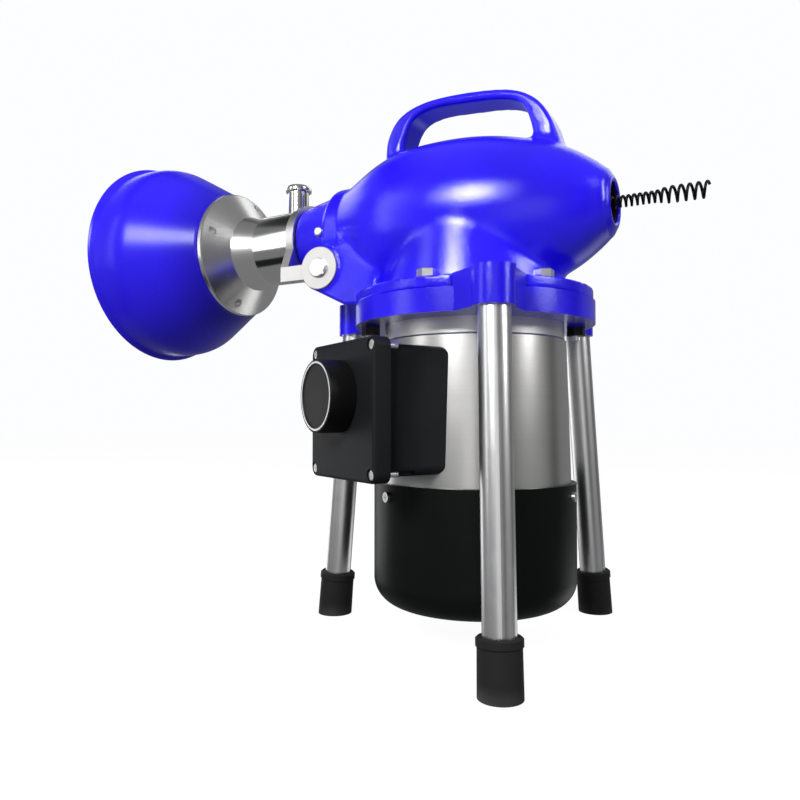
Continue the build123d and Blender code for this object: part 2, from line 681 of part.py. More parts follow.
def auger_route():
    """Points along the auger's wire, about Z: narrow close turns, then wide open ones."""
    points = []
    angle = 0.0
    height = 0.0
    while height < AUGER_LENGTH:
        share = min(max((height - AUGER_WIDENS_AT) / AUGER_WIDENING, 0.0), 1.0)
        share = share * share * (3 - 2 * share)
        radius = AUGER_NARROW_R + (AUGER_WIDE_R - AUGER_NARROW_R) * share
        pitch = AUGER_NARROW_PITCH + (AUGER_WIDE_PITCH - AUGER_NARROW_PITCH) * share
        points.append((radius * math.cos(angle), radius * math.sin(angle), height))
        angle -= 2 * math.pi / POINTS_PER_TURN
        height += pitch / POINTS_PER_TURN
    return points


def make_auger():
    """Open wire auger welded to the cable's end: a narrow coil that widens towards its tip."""
    route = Spline(*auger_route())
    wire = sweep(Plane(route @ 0, z_dir=route % 0) * Circle(AUGER_WIRE_R), route, is_frenet=True)
    return Pos(AUGER_START_X, 0, SPINDLE_Z) * Rot(0, 90, 0) * wire


# ---------------------------------------------------------------- tilting head
def make_yoke():
    """Machined ring with two ears for the pivot screws and a tube for the collar."""
    front, back = YOKE_X
    ring = rod_x(front, back, YOKE_R)
    low, high = PIVOT_Z - 5.6, PIVOT_Z + 7.0
    lug_outline = [(-20, 299), (-33, 320), (-EAR_OUTER_Y, high), (-EAR_OUTER_Y, low), (-EAR_INNER_Y + 3, low)]
    lug = extrude(Plane.YZ.offset(front) * make_face(Polyline(*lug_outline, close=True)), back - front)
    recess = rod_x(front + 1.3, back + 1, YOKE_BORE_R)
    tube = rod_x(COLLAR_X[0], front, TUBE_R)
    bore = rod_x(COLLAR_X[0] - 1, back + 1, TUBE_BORE_R)
    yoke = ring + lug + mirror(lug, Plane.XZ) + tube - recess - bore
    ear = slab((front, -EAR_OUTER_Y, low), (PIVOT_X, -EAR_INNER_Y, high))
    ear = ear + rod_y(-EAR_OUTER_Y, -EAR_INNER_Y, 9.2, PIVOT_X, PIVOT_Z)
    ear = ear - rod_y(-EAR_OUTER_Y - 1, -EAR_INNER_Y + 1, PIVOT_SCREW_R + RUNNING, PIVOT_X, PIVOT_Z)
    pin = rod_y(-YOKE_R + 3, -24.5, PIN_R, PIN_X, SPINDLE_Z)
    for piece in both_sides(ear) + both_sides(pin):
        yoke = yoke + piece
    return yoke - Pos(PLUNGER_X, 0, SPINDLE_Z + TUBE_R) * Cylinder(4.06, 12)


def make_collar():
    """Steel sleeve over the yoke's tube."""
    collar = rod_x(COLLAR_X[0], COLLAR_X[1], COLLAR_R, TUBE_R)
    collar = chamfer(collar.edges().filter_by(GeomType.CIRCLE).sort_by(Axis.X)[0:1], 0.5)
    return collar - Pos(PLUNGER_X, 0, SPINDLE_Z + COLLAR_R) * Cylinder(PLUNGER_R, 20)


def make_cone():
    """Turned aluminium funnel between the collar and the bell."""
    cone = turned_x([(CONE_FLANGE_X, CONE_FLANGE_R), (-241.2, CONE_FLANGE_R), (-240.4, 56.8), (-226, 34.5),
                     (-206, 27.2), (COLLAR_X[0], 27.0), (COLLAR_X[0], TUBE_BORE_R), (-222, TUBE_BORE_R),
                     (-232, 31), (CONE_FLANGE_X, 40)])
    for angle in CONE_SCREW_ANGLES:
        cone = cone - cone_screw_tool(angle)
    return cone


CONE_SCREW_ANGLES = [-75.0, 15.0, 105.0, 195.0]
CONE_SCREW_R = 50.0


def cone_screw_tool(angle):
    """Space taken by a bell screw. The angle is measured upwards from -Y."""
    head = Pos(0, -CONE_SCREW_R, 0) * Rot(0, 90, 0) * Cylinder(3.8, 9)
    shank = Pos(0, -CONE_SCREW_R, 0) * Rot(0, 90, 0) * Cylinder(2.0, 20)
    tool = Pos(-237.0, 0, 0) * head + Pos(-240.0, 0, 0) * shank
    return about_spindle(Rot(-angle, 0, 0) * tool)


def cone_screw(angle):
    """Cross-headed screw from the cone into the floor of the bell."""
    head = Pos(-240.2, -CONE_SCREW_R, 0) * Rot(0, 90, 0) * Cylinder(3.78, 2.6)
    shank = Pos(-244.7, -CONE_SCREW_R, 0) * Rot(0, 90, 0) * Cylinder(1.98, 6.4)
    cross = Pos(-238.9, -CONE_SCREW_R, 0) * (Box(1.6, 4.6, 0.9) + Box(1.6, 0.9, 4.6))
    return about_spindle(Rot(-angle, 0, 0) * (head + shank - cross))


BELL_OUTLINE = [(-248, 58.6), (-259, 64.4), (-270, 70.4), (-281, 76.5), (-291, 82.0), (-299, 86.3),
                (-306, 89.8), (-313, 91.9), (-322, 92.9), (-338, 93.4)]


def make_bell():
    """Flared guard with a rolled lip and a flat floor for the cone's flange."""
    outer = [(x, SPINDLE_Z + r) for x, r in BELL_OUTLINE]
    inner = [(x, z - BELL_WALL) for x, z in reversed(outer)]
    mouth_z = SPINDLE_Z + 97.0
    lip = [outer[-1], (-340.6, mouth_z - 1.2), (BELL_MOUTH_X + 0.8, mouth_z), (BELL_MOUTH_X, mouth_z - 1.0),
           (BELL_MOUTH_X, mouth_z - 3.4), inner[0]]
    floor = [inner[-1], (-248, SPINDLE_Z + 30), (CONE_FLANGE_X, SPINDLE_Z + 30),
             (CONE_FLANGE_X, SPINDLE_Z + 57.4), (-245.4, SPINDLE_Z + 58.3), outer[0]]
    wall = Spline(*outer) + Polyline(*lip) + Spline(*inner) + Polyline(*floor)
    bell = revolve(Plane.XZ * make_face(wall), Axis((0, 0, SPINDLE_Z), (1, 0, 0)))
    for angle in CONE_SCREW_ANGLES:
        bell = bell - cone_screw_tool(angle)
    return bell


# ---------------------------------------------------------------- spring plunger on the head
PLUNGER_TOP_Z = 379.0
PLUNGER_LOW_Z = 355.2
PLUNGER_R = 9.4
PLUNGER_SPRING_LENGTH = 10.4  # leaves room for the knob's lift of 6 mm


def make_plunger_body():
    """Short tube on the collar that holds the locking pin and its spring."""
    body = Cylinder(PLUNGER_R, PLUNGER_TOP_Z - PLUNGER_LOW_Z) - Cylinder(2.6, 60)
    body = Pos(PLUNGER_X, 0, (PLUNGER_TOP_Z + PLUNGER_LOW_Z) / 2) * body
    chamber = Pos(PLUNGER_X, 0, (357.2 + 376.5) / 2) * Cylinder(6.2, 376.5 - 357.2)
    pin_hole = Pos(PLUNGER_X, 0, 356) * Cylinder(4.06, 4)
    return body - chamber - pin_hole - rod_x(-200, -150, TUBE_R)


def make_plunger_knob():
    """Domed knob with its pin, lifted to free the head."""
    cap = Cylinder(12.0, 5.4)
    cap = fillet(cap.edges().group_by(Axis.Z)[-1], 3.2)
    cap = fillet(cap.edges().group_by(Axis.Z)[0], 0.8)
    knob = Pos(0, 0, PLUNGER_TOP_Z + 0.3 + 2.7) * cap
    knob = knob + Pos(0, 0, 369.5) * Cylinder(2.5, 20.4)
    knob = knob + Pos(0, 0, 358.4) * Cylinder(5.9, 2.0)
    knob = knob + Pos(0, 0, 354.2) * Cylinder(4.0, 7.0)
    return Pos(PLUNGER_X, 0, 0) * knob


def make_plunger_spring():
    """Sleeve that stands for the plunger's small compression spring."""
    ring = Cylinder(5.7, PLUNGER_SPRING_LENGTH) - Cylinder(4.1, PLUNGER_SPRING_LENGTH)
    return Pos(PLUNGER_X, 0, 359.7 + PLUNGER_SPRING_LENGTH / 2) * ring


def return_spring():
    """Torsion spring beside an ear, with its free end hooked under the arm."""
    coil = rod_y(-35.7, -31.5, 7.4, PIVOT_X, PIVOT_Z) - rod_y(-36, -31, 5.6, PIVOT_X, PIVOT_Z)
    tail = Pos(PIVOT_X + 9, -33.0, PIVOT_Z - 6.4) * Box(20, 1.8, 1.8)
    hook = Pos(PIVOT_X + 19, -35.0, PIVOT_Z - 6.4) * Box(1.8, 5.8, 1.8)
    return coil + tail + hook


# ---------------------------------------------------------------- switch box
def box_frame(distance, along=0.0, height=BOX_Z):
    """Place on the box's axis: local Z points outwards, local X to the side, local Y up."""
    turn = Rot(0, 0, BOX_AZIMUTH) * Pos(distance, along, height)
    return turn * Rot(0, 90, 0) * Rot(0, 0, 90)


def rounded_block(width, height, depth, corner):
    """Block with rounded upright edges, from local z = 0 outwards."""
    sketch = RectangleRounded(width, height, corner)
    return extrude(sketch, depth)


LID_BACK_R = BOX_FACE_R - LID_SIZE[2]
LID_SCREWS = [(-44.5, -43.5), (44.5, -43.5), (-44.5, 43.5), (44.5, 43.5)]


def make_box_lid():
    """Lid with a softened front edge and a recess for each corner screw."""
    width, height, depth = LID_SIZE
    lid = rounded_block(width, height, depth, 7.0)
    lid = fillet(lid.edges().group_by(Axis.Z)[-1], 2.6)
    lid = lid - Pos(0, 0, -1) * rounded_block(width - 22, height - 22, depth - 2, 5.0)
    for x, y in LID_SCREWS:
        lid = lid - Pos(x, y, depth) * Cylinder(4.3, 7.0) - Pos(x, y, 0) * Cylinder(2.0, 40)
    lid = lid - Pos(0, KNOB_Z - BOX_Z, depth) * Cylinder(5.0, 40)
    return box_frame(LID_BACK_R) * lid


def make_box_gasket():
    """Rubber gasket between the lid and the base."""
    width, height = BASE_SIZE
    ring = rounded_block(width, height, 1.4, 6.0) - rounded_block(width - 8, height - 8, 1.4, 4.0)
    for x, y in LID_SCREWS:
        ring = ring - Pos(x, y, 0) * Cylinder(2.05, 10)
    return box_frame(LID_BACK_R - 1.4) * ring


def make_box_base():
    """Open base whose walls end on the motor shell."""
    width, height = BASE_SIZE
    depth = 50.0
    outside = rounded_block(width, height, depth, 7.0)
    inside = Pos(0, 0, -1) * rounded_block(width - 9, height - 9, depth + 2, 5.0)
    base = outside - inside
    for x, y in LID_SCREWS:
        post = Pos(x * 0.95, y * 0.95, depth / 2) * Cylinder(5.6, depth)
        base = base + (post & outside)
    for x, y in LID_SCREWS:
        base = base - Pos(x, y, depth) * Cylinder(2.0, 40)
    base = box_frame(LID_BACK_R - 1.4 - depth) * base
    base = base - gland_frame() * Pos(0, 0, width / 2) * Cylinder(GLAND_THREAD_R, 20)
    filled_shell = turned_z([(0, SHELL_FOOT_Z), (SHELL_FOOT_R, SHELL_FOOT_Z),
                             (SHELL_TOP_R, SHELL_TOP_Z - 1), (0, SHELL_TOP_Z - 1)])
    return base - filled_shell


GLAND_R = 86.0
GLAND_Z = 160.0
GLAND_THREAD_R = 7.9
GLAND_BORE_R = 4.5


def gland_frame():
    """Place on the box's axis with its Z towards the bell-side leg."""
    return box_frame(GLAND_R, height=GLAND_Z) * Rot(0, -90, 0)


def make_cord_gland():
    """Gland for a mains cord: thread, locknut inside, hexagon and dome outside."""
    wall = BASE_SIZE[0] / 2
    thread = Pos(0, 0, wall - 4.0) * Cylinder(GLAND_THREAD_R, 10.0)
    locknut = Pos(0, 0, wall - 8.6) * extrude(RegularPolygon(10.4, 6), 4.0)
    hexagon = Pos(0, 0, wall + 0.1) * extrude(RegularPolygon(11.0, 6), 6.0)
    dome_outline = [(0, wall + 6), (9.4, wall + 6), (9.4, wall + 12), (7.4, wall + 17), (0, wall + 17)]
    dome = revolve(Plane.XZ * make_face(Polyline(*dome_outline, close=True)), Axis.Z)
    gland = thread + locknut + hexagon + dome - Cylinder(GLAND_BORE_R, 200)
    return gland_frame() * gland


def make_lid_screws():
    """Four pan screws at the corners of the lid."""
    depth = LID_SIZE[2]
    head = Pos(0, 0, depth - 2.2) * Cylinder(3.8, 2.6)
    head = fillet(head.edges().group_by(Axis.Z)[-1], 0.9)
    cross = Pos(0, 0, depth - 1.2) * (Box(4.4, 0.9, 1.6) + Box(0.9, 4.4, 1.6))
    shank = Pos(0, 0, depth / 2 - 5) * Cylinder(1.98, depth + 6)
    screw = head + shank - cross
    return group([box_frame(LID_BACK_R) * Pos(x, y, 0) * screw for x, y in LID_SCREWS])


def knob_frame(distance):
    """Place on the knob's axis."""
    return box_frame(distance, height=KNOB_Z)


def make_switch_body():
    """Rotary switch behind the lid."""
    block = rounded_block(42, 42, 24, 3.0)
    neck = Pos(0, 0, 24) * Cylinder(9, 2 * (LID_SIZE[2] - 4.2))
    body = Pos(0, 0, 0) * block + neck
    body = body - Pos(0, 0, 20) * Cylinder(4.8 + RUNNING, 60)
    lid_inside = LID_BACK_R + LID_SIZE[2] - 3.0
    return knob_frame(lid_inside - 24 - (LID_SIZE[2] - 4.2)) * body


def make_switch_knob():
    """Round knob on the switch's shaft, with a dished front."""
    knob = Cylinder(KNOB_R, KNOB_DEPTH, align=(Align.CENTER, Align.CENTER, Align.MIN))
    knob = chamfer(knob.edges().group_by(Axis.Z)[-1], 0.6)
    dish = Pos(0, 0, KNOB_DEPTH) * Cylinder(KNOB_R - 1.6, 1.6)
    shaft = Pos(0, 0, -13) * Cylinder(4.8, 28)
    return knob_frame(BOX_FACE_R + 0.6) * (knob - dish + shaft)


def make_knob_disc():
    """Thin bright ring let into the front of the knob with a black centre disc."""
    ring = Pos(0, 0, KNOB_DEPTH - 0.4) * (Cylinder(KNOB_R - 1.6, 0.8) - Cylinder(KNOB_R - 2.9, 0.8))
    return knob_frame(BOX_FACE_R + 0.6) * ring


def make_capacitor():
    """Start capacitor lying inside the box, under the switch."""
    can = Rot(0, 90, 0) * Cylinder(12.6, 60)
    return box_frame(91) * Pos(0, -26, 0) * can


# ---------------------------------------------------------------- the whole machine
def spindle_pieces():
    """Everything that turns with the hollow spindle."""
    pieces = {
        "spindle": make_spindle(),
        "ring_gear": make_ring_gear(),
        "gear_key": make_gear_key(),
        "front_bearing_inner": bearing_inner(FRONT_BEARING_X),
        "rear_bearing_inner": bearing_inner(REAR_BEARING_X),
        "clutch_sleeve": make_sleeve(),
        "drain_cable": make_drain_cable(),
        "auger": make_auger(),
    }
    for name, angle in JAW_ANGLES.items():
        pieces["jaw_" + name] = make_jaw(angle)
    return pieces


def head_pieces():
    """Everything that tilts on the pivot screws."""
    return {
        "yoke": make_yoke(),
        "collar": make_collar(),
        "cone": make_cone(),
        "cone_screws": group([cone_screw(angle) for angle in CONE_SCREW_ANGLES]),
        "bell": make_bell(),
        "plunger_body": make_plunger_body(),
        "plunger_knob": make_plunger_knob(),
        "plunger_spring": make_plunger_spring(),
        "return_springs": group(both_sides(return_spring())),
    }


def motor_pieces():
    """The induction motor."""
    top_span, low_span = TOP_BEARING_Z, LOW_BEARING_Z
    outers = [motor_bearing_outer(top_span, TOP_BEARING_R), motor_bearing_outer(low_span, LOW_BEARING_R)]
    inners = motor_bearing_inner(top_span, TOP_BEARING_R) + motor_bearing_inner(low_span, LOW_BEARING_R)
    return {
        "end_shield": make_end_shield(),
        "shaft_seal": make_shaft_seal(),
        "motor_shell": make_motor_shell(),
        "stator_core": make_stator_core(),
        "stator_windings": make_windings(),
        "low_shield": make_low_shield(),
        "motor_bearing_outers": group(outers),
        "motor_bearing_inners": group(inners),
        "fan_cover": make_fan_cover(),
        "cover_screws": group(around(COVER_SCREW_AZIMUTHS, cover_screw())),
        "motor_shaft": make_motor_shaft(),
        "rotor_core": make_rotor_core(),
        "cooling_fan": make_fan(),
        "bevel_pinion": make_pinion(),
    }


def stand_pieces():
    """Leg ring, legs, feet and the flange bolts."""
    screws = around(SCREW_AZIMUTHS, hex_bolt(SCREW_LOW_Z))
    bolts = around(BOLT_AZIMUTHS, hex_bolt(BOLT_LOW_Z))
    studs = around(STUD_AZIMUTHS, stud(BOLT_LOW_Z, STUD_TOP_Z - 1))
    pieces = {
        "leg_ring": make_leg_ring(),
        "flange_bolts": group(screws + bolts + studs),
        "flange_nuts": group(around(BOLT_AZIMUTHS + STUD_AZIMUTHS, hex_nut())),
    }
    for name, azimuth in LEG_AZIMUTHS.items():
        pieces["leg_" + name] = make_leg(azimuth)
        pieces["foot_" + name] = make_foot(azimuth)
    return pieces


def housing_pieces():
    """The casting and what is fixed in it."""
    return {
        "housing": make_housing(),
        "exit_bush": make_exit_bush(),
        "front_bearing_outer": bearing_outer(FRONT_BEARING_X),
        "rear_bearing_outer": bearing_outer(REAR_BEARING_X),
        "front_circlip": make_front_circlip(),
        "pivot_screws": group(both_sides(pivot_screw())),
        "pivot_discs": group(both_sides(pivot_disc())),
        "nose_screws": make_nose_screws(),
    }


def box_pieces():
    """Switch box on the side of the motor."""
    return {
        "box_base": make_box_base(),
        "box_gasket": make_box_gasket(),
        "box_lid": make_box_lid(),
        "lid_screws": make_lid_screws(),
        "cord_gland": make_cord_gland(),
        "switch_body": make_switch_body(),
        "switch_knob": make_switch_knob(),
        "knob_ring": make_knob_disc(),
        "capacitor": make_capacitor(),
    }


def all_pieces():
    """Every piece by its name, drawn about the motor axis."""
    pieces = {}
    for section in (housing_pieces, stand_pieces, motor_pieces, box_pieces, spindle_pieces, head_pieces):
        pieces.update(section())
    return pieces


def footprint_shift(pieces):
    """Move that brings the centre of the whole machine's box to x = y = 0."""
    boxes = [piece.bounding_box() for piece in pieces.values()]
    low_x = min(box.min.X for box in boxes)
    high_x = max(box.max.X for box in boxes)
    low_y = min(box.min.Y for box in boxes)
    high_y = max(box.max.Y for box in boxes)
    return Pos(-(low_x + high_x) / 2, -(low_y + high_y) / 2, 0)


def write_parts():
    """Write one file for each piece."""
    os.makedirs("parts", exist_ok=True)
    pieces = all_pieces()
    shift = footprint_shift(pieces)
    print("motor axis at", shift.position)
    for name, piece in pieces.items():
        export_step(shift * piece, "parts/" + name + ".step")
    print(len(pieces), "pieces written")


write_parts()
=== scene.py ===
# %% [markdown]
# # A drain snake machine
# A plumber's drain cleaner stands on three tube legs. An upright motor drives a hollow spindle
# through bevel gears, and a wire cable is fed through a bell-shaped guard and out at the tail.
# The shapes come from the CAD frame, which is never moved. This file gives them their finishes,
# and replaces the few shapes that a CAD kernel draws too plainly: the soft casting, the wound
# cable and the springs.

# %% Load the fixed frame
import json
import math

import bpy
import numpy as np
from mathutils import Matrix, Vector


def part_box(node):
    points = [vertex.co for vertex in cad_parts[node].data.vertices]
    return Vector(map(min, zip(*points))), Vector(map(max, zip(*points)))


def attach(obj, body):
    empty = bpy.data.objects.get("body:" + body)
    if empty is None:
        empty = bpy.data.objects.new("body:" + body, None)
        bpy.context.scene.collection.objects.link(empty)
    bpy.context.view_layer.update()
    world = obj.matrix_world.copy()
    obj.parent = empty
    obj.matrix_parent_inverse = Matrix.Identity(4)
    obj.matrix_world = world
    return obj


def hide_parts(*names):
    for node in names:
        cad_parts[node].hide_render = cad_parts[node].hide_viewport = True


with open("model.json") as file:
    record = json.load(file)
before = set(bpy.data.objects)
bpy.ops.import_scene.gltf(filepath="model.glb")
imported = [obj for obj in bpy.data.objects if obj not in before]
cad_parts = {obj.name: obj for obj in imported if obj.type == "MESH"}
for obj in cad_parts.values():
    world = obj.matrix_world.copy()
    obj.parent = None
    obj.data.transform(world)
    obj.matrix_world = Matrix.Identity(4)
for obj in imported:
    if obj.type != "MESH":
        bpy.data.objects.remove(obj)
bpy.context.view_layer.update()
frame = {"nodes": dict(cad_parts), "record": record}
nodes = frame["nodes"]

# %% [markdown]
# Every place below is counted from two axes that the frame already holds: the upright motor axis
# and the spindle's axis. Reading them from the nodes, and not typing them in, keeps this file
# right when the CAD model moves.

# %% The two axes of the machine
MM = 0.001


def middle(node):
    """Centre of a CAD node's box."""
    low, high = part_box(node)
    return (low + high) / 2


MOTOR = middle("motor_shell")
SPINDLE_Z = middle("spindle").z


def at(x, y, z):
    """A point in millimetres from the motor axis and the floor, as a place in the frame."""
    return Vector((MOTOR.x + x * MM, MOTOR.y + y * MM, z * MM))


print("motor axis at", tuple(round(v, 4) for v in MOTOR.xy), "spindle at height", round(SPINDLE_Z, 4))

# %% [markdown]
# ## Helpers for modelling by operator
# Operators act on whatever is selected, so each piece starts with nothing selected but itself.
# A finished piece keeps its object at the origin: its place is in its mesh, as on a CAD node.

# %% Selecting, finishing and fastening a piece


def only(piece):
    """Make one object the selected and active one."""
    bpy.ops.object.select_all(action="DESELECT")
    piece.select_set(True)
    bpy.context.view_layer.objects.active = piece


def apply_modifier(piece, kind, **settings):
    """Add a modifier, set it and apply it."""
    only(piece)
    modifier = piece.modifiers.new(kind.lower(), kind)
    for name, value in settings.items():
        setattr(modifier, name, value)
    bpy.ops.object.modifier_apply(modifier=modifier.name)


def finished(piece, name, body, sharp=35.0):
    """Name a piece, put its place into its mesh, shade it and let it ride on a CAD body."""
    only(piece)
    bpy.ops.object.transform_apply(location=True, rotation=True, scale=True)
    bpy.ops.object.shade_smooth_by_angle(angle=math.radians(sharp))
    piece.name = name
    piece.data.name = name
    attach(piece, body)
    piece.data.materials.clear()
    print("piece", name, "with", len(piece.data.polygons), "faces on", body)
    return piece


# %% [markdown]
# ## Shader maths
# A finish is easier to read as a formula than as a tangle of nodes. This small class wraps one
# output socket, so that `1 - mask * 0.3` adds the Math nodes by itself.

# %% A socket that can be used in formulas


class Signal:
    """One number that changes over a surface."""

    def __init__(self, finish, socket):
        self.finish = finish
        self.socket = socket

    def join(self, operation, first, second):
        return self.finish.node("ShaderNodeMath", {"operation": operation}, {0: first, 1: second})

    def __add__(self, other):
        return self.join("ADD", self, other)

    def __sub__(self, other):
        return self.join("SUBTRACT", self, other)

    def __rsub__(self, other):
        return self.join("SUBTRACT", other, self)

    def __mul__(self, other):
        return self.join("MULTIPLY", self, other)

    __radd__ = __add__
    __rmul__ = __mul__

    def clamped(self):
        return self.finish.node("ShaderNodeClamp", {}, {"Value": self})

    def from_to(self, low, high):
        """0 below low, 1 above high."""
        return self.finish.node("ShaderNodeMapRange", {"interpolation_type": "SMOOTHSTEP"},
                                {"Value": self, "From Min": low, "From Max": high})


class Finish:
    """A material whose shader starts from plain numbers and is then varied by signals."""

    def __init__(self, name, color, roughness, metallic=0.0, **constants):
        self.material = bpy.data.materials.new(name)
        self.material.use_nodes = True
        self.tree = self.material.node_tree
        self.shader = self.tree.nodes["Principled BSDF"]
        self.color = color
        self.shader.inputs["Base Color"].default_value = (*color, 1.0)
        self.shader.inputs["Roughness"].default_value = roughness
        self.shader.inputs["Metallic"].default_value = metallic
        for socket, value in constants.items():
            self.shader.inputs[socket.replace("_", " ")].default_value = value

    def node(self, kind, settings, inputs, out=0):
        """Any node: its settings first, then numbers or signals for its sockets."""
        node = self.tree.nodes.new(kind)
        for name, value in settings.items():
            setattr(node, name, value)
        for key, value in inputs.items():
            self.feed(node.inputs[key], value)
        return Signal(self, node.outputs[out])

    def feed(self, socket, value):
        if isinstance(value, Signal):
            self.tree.links.new(value.socket, socket)
        else:
            socket.default_value = value

    def place(self, stretch=(1.0, 1.0, 1.0), centre=(0.0, 0.0, 0.0)):
        """Object coordinates about a centre, stretched."""
        spot = self.node("ShaderNodeTexCoord", {}, {}, out=3)
        moved = self.node("ShaderNodeVectorMath", {"operation": "SUBTRACT"}, {0: spot, 1: centre})
        return self.node("ShaderNodeVectorMath", {"operation": "MULTIPLY"}, {0: moved, 1: stretch})

    def axis(self, vector, name):
        """One coordinate of a vector."""
        return self.node("ShaderNodeSeparateXYZ", {}, {0: vector}, out="XYZ".index(name))

    def noise(self, scale, vector=None, detail=2.0, roughness=0.5):
        """Noise between 0 and 1, whose grains are about 1/scale metres."""
        vector = vector or self.place()
        return self.node("ShaderNodeTexNoise", {}, {"Vector": vector, "Scale": scale, "Detail": detail,
                                                    "Roughness": roughness})

    def mix(self, share, first, second):
        """A colour between two colours."""
        inputs = {0: share, 6: self.rgba(first), 7: self.rgba(second)}
        return self.node("ShaderNodeMix", {"data_type": "RGBA"}, inputs, out=2)

    def rgba(self, color):
        return color if isinstance(color, Signal) else (*color, 1.0)

    def shade(self, amount):
        """The finish's own colour made lighter or darker."""
        return tuple(min(max(channel * amount, 0.0), 1.0) for channel in self.color)

    def vary(self, **signals):
        """Feed Base_Color, Roughness or another varying input of the shader."""
        for socket, value in signals.items():
            self.feed(self.shader.inputs[socket.replace("_", " ")], value)

    def relief(self, height, depth, strength=1.0):
        """Raise the surface by a height signal of 0 to 1 times depth in metres."""
        bump = self.node("ShaderNodeBump", {}, {"Height": height, "Distance": depth, "Strength": strength})
        self.feed(self.shader.inputs["Normal"], bump)


print("shader helpers ready")

# %% [markdown]
# ## Enamel on the castings
# The gearbox housing and the leg ring are sand castings under a thick coat of gloss enamel. The
# cast skin shows through as orange peel: it breaks the edge of every highlight into grains. Two
# sizes of noise in the relief do that, and a slow noise keeps the blue from being dead even.

# %% Enamel
BLUE = (0.020, 0.008, 0.86)


def enamel():
    finish = Finish("cast enamel", BLUE, 0.26, Specular_IOR_Level=0.55)
    peel = finish.noise(760.0, detail=3.0, roughness=0.6)
    grain = finish.noise(2100.0, detail=2.0)
    slow = finish.noise(16.0, detail=3.0)
    finish.vary(Base_Color=finish.mix(slow.from_to(0.3, 0.7), finish.shade(0.82), finish.shade(1.12)),
                Roughness=0.08 + grain * 0.08 + slow * 0.03)
    finish.relief(peel * 0.8 + grain * 0.2, 0.00018)
    return finish.material


# %% [markdown]
# ## Moulded gloss plastic
# The bell is moulded, so it is much smoother than the castings. Only a very slow waviness bends
# its reflections, and fine scuffs lie on the rim, where cable and floor rub it. Its blue is painted
# darker towards the cone end: painted shade.

# %% Bell plastic


def bell_plastic():
    finish = Finish("bell plastic", (0.024, 0.012, 0.74), 0.26, Specular_IOR_Level=0.20)
    spot = finish.place()
    wave = finish.noise(22.0, detail=1.0)
    scuff = finish.noise(900.0, vector=finish.place(stretch=(0.06, 1.0, 1.0)), detail=4.0, roughness=0.7)
    # Painted shade: the bell's blue is darkened towards its cone end, away from the rim.
    shade_painted_near_cone = finish.axis(spot, "X").from_to(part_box("bell")[0].x + 0.060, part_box("bell")[1].x)
    tone = finish.mix(shade_painted_near_cone * 0.8 + wave * 0.15, finish.shade(1.1), finish.shade(0.6))
    rim = 1 - finish.axis(spot, "X").from_to(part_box("bell")[0].x + 0.001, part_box("bell")[0].x + 0.008)
    rubbed = scuff.from_to(0.55, 0.8) * (0.08 + rim * 0.25)
    finish.vary(Base_Color=tone, Roughness=0.22 + wave * 0.06 + rubbed)
    finish.relief(wave + scuff * 0.05, 0.0004)
    return finish.material


# %% [markdown]
# ## Turned metal
# A lathe leaves fine rings. Each ring is a noise of one number only: the height for the motor's
# shell, and the distance along and from the spindle for the cone, yoke and collar. The rings
# give the bright and dark lengthwise bands their fine broken edge.

# %% Turned about an axis


def turned(name, color, roughness, axis, ring_depth, ring_scale=1500.0, contrast=0.10, **constants):
    finish = Finish(name, color, roughness, metallic=1.0, **constants)
    centre = (MOTOR.x, MOTOR.y, 0.0) if axis == "Z" else (0.0, MOTOR.y, SPINDLE_Z)
    spot = finish.place(centre=centre)
    flat = (1.0, 1.0, 0.0) if axis == "Z" else (0.0, 1.0, 1.0)
    across = finish.node("ShaderNodeVectorMath", {"operation": "MULTIPLY"}, {0: spot, 1: flat})
    out = finish.node("ShaderNodeVectorMath", {"operation": "LENGTH"}, {0: across}, out=1)
    along = finish.axis(spot, axis)
    line = finish.node("ShaderNodeCombineXYZ", {}, {0: along, 1: out, 2: 0.0})
    rings = finish.noise(ring_scale, vector=line, detail=4.0, roughness=0.65)
    broad = finish.noise(110.0, vector=line, detail=2.0)
    smear = finish.noise(30.0, detail=3.0)
    share = rings * 0.6 + broad * 0.4
    finish.vary(Base_Color=finish.mix(share, finish.shade(1 - contrast), finish.shade(1 + contrast)),
                Roughness=(roughness - 0.07) + rings * 0.10 + smear * 0.05)
    finish.relief(rings, ring_depth)
    return finish.material


# %% [markdown]
# ## Polished tube and plated fasteners
# The legs are drawn tube, polished lengthwise. Fine scratches run along them and a few finger
# smears cloud the mirror. Bolts and screws are zinc plated: bright, with a faint cloudy bloom.

# %% Polished tube


def polished(name, color, roughness, stretch, scratch_depth=0.00002, bloom=0.10):
    finish = Finish(name, color, roughness, metallic=1.0)
    scratch = finish.noise(1900.0, vector=finish.place(stretch=stretch), detail=3.0, roughness=0.6)
    cloud = finish.noise(38.0, detail=4.0, roughness=0.6)
    finish.vary(Base_Color=finish.mix(cloud, finish.shade(1 - bloom), finish.shade(1 + bloom * 0.4)),
                Roughness=roughness + scratch * 0.07 + cloud.from_to(0.45, 0.75) * bloom)
    finish.relief(scratch, scratch_depth)
    return finish.material


# %% [markdown]
# ## Rubber and moulded black plastic
# The feet are dusty moulded rubber, palest where they touch the floor. The switch box has the
# even sparkle of a spark-eroded mould, and the knob is smoother and a shade deeper.

# %% Black mouldings


def moulded(name, color, roughness, grain_scale, grain_depth, dust=0.0, dust_top=0.012):
    finish = Finish(name, color, roughness, Specular_IOR_Level=0.11)
    spot = finish.place()
    grain = finish.noise(grain_scale, detail=3.0, roughness=0.7)
    slow = finish.noise(24.0, detail=3.0)
    tone = finish.mix(slow, finish.shade(0.8), finish.shade(1.35))
    low = (1 - finish.axis(spot, "Z").from_to(0.0, dust_top)) * slow.from_to(0.2, 0.8) * dust
    finish.vary(Base_Color=finish.mix(low.clamped(), tone, (0.30, 0.29, 0.27)),
                Roughness=(roughness - 0.08) + grain * 0.10 + slow * 0.08)
    finish.relief(grain, grain_depth)
    return finish.material


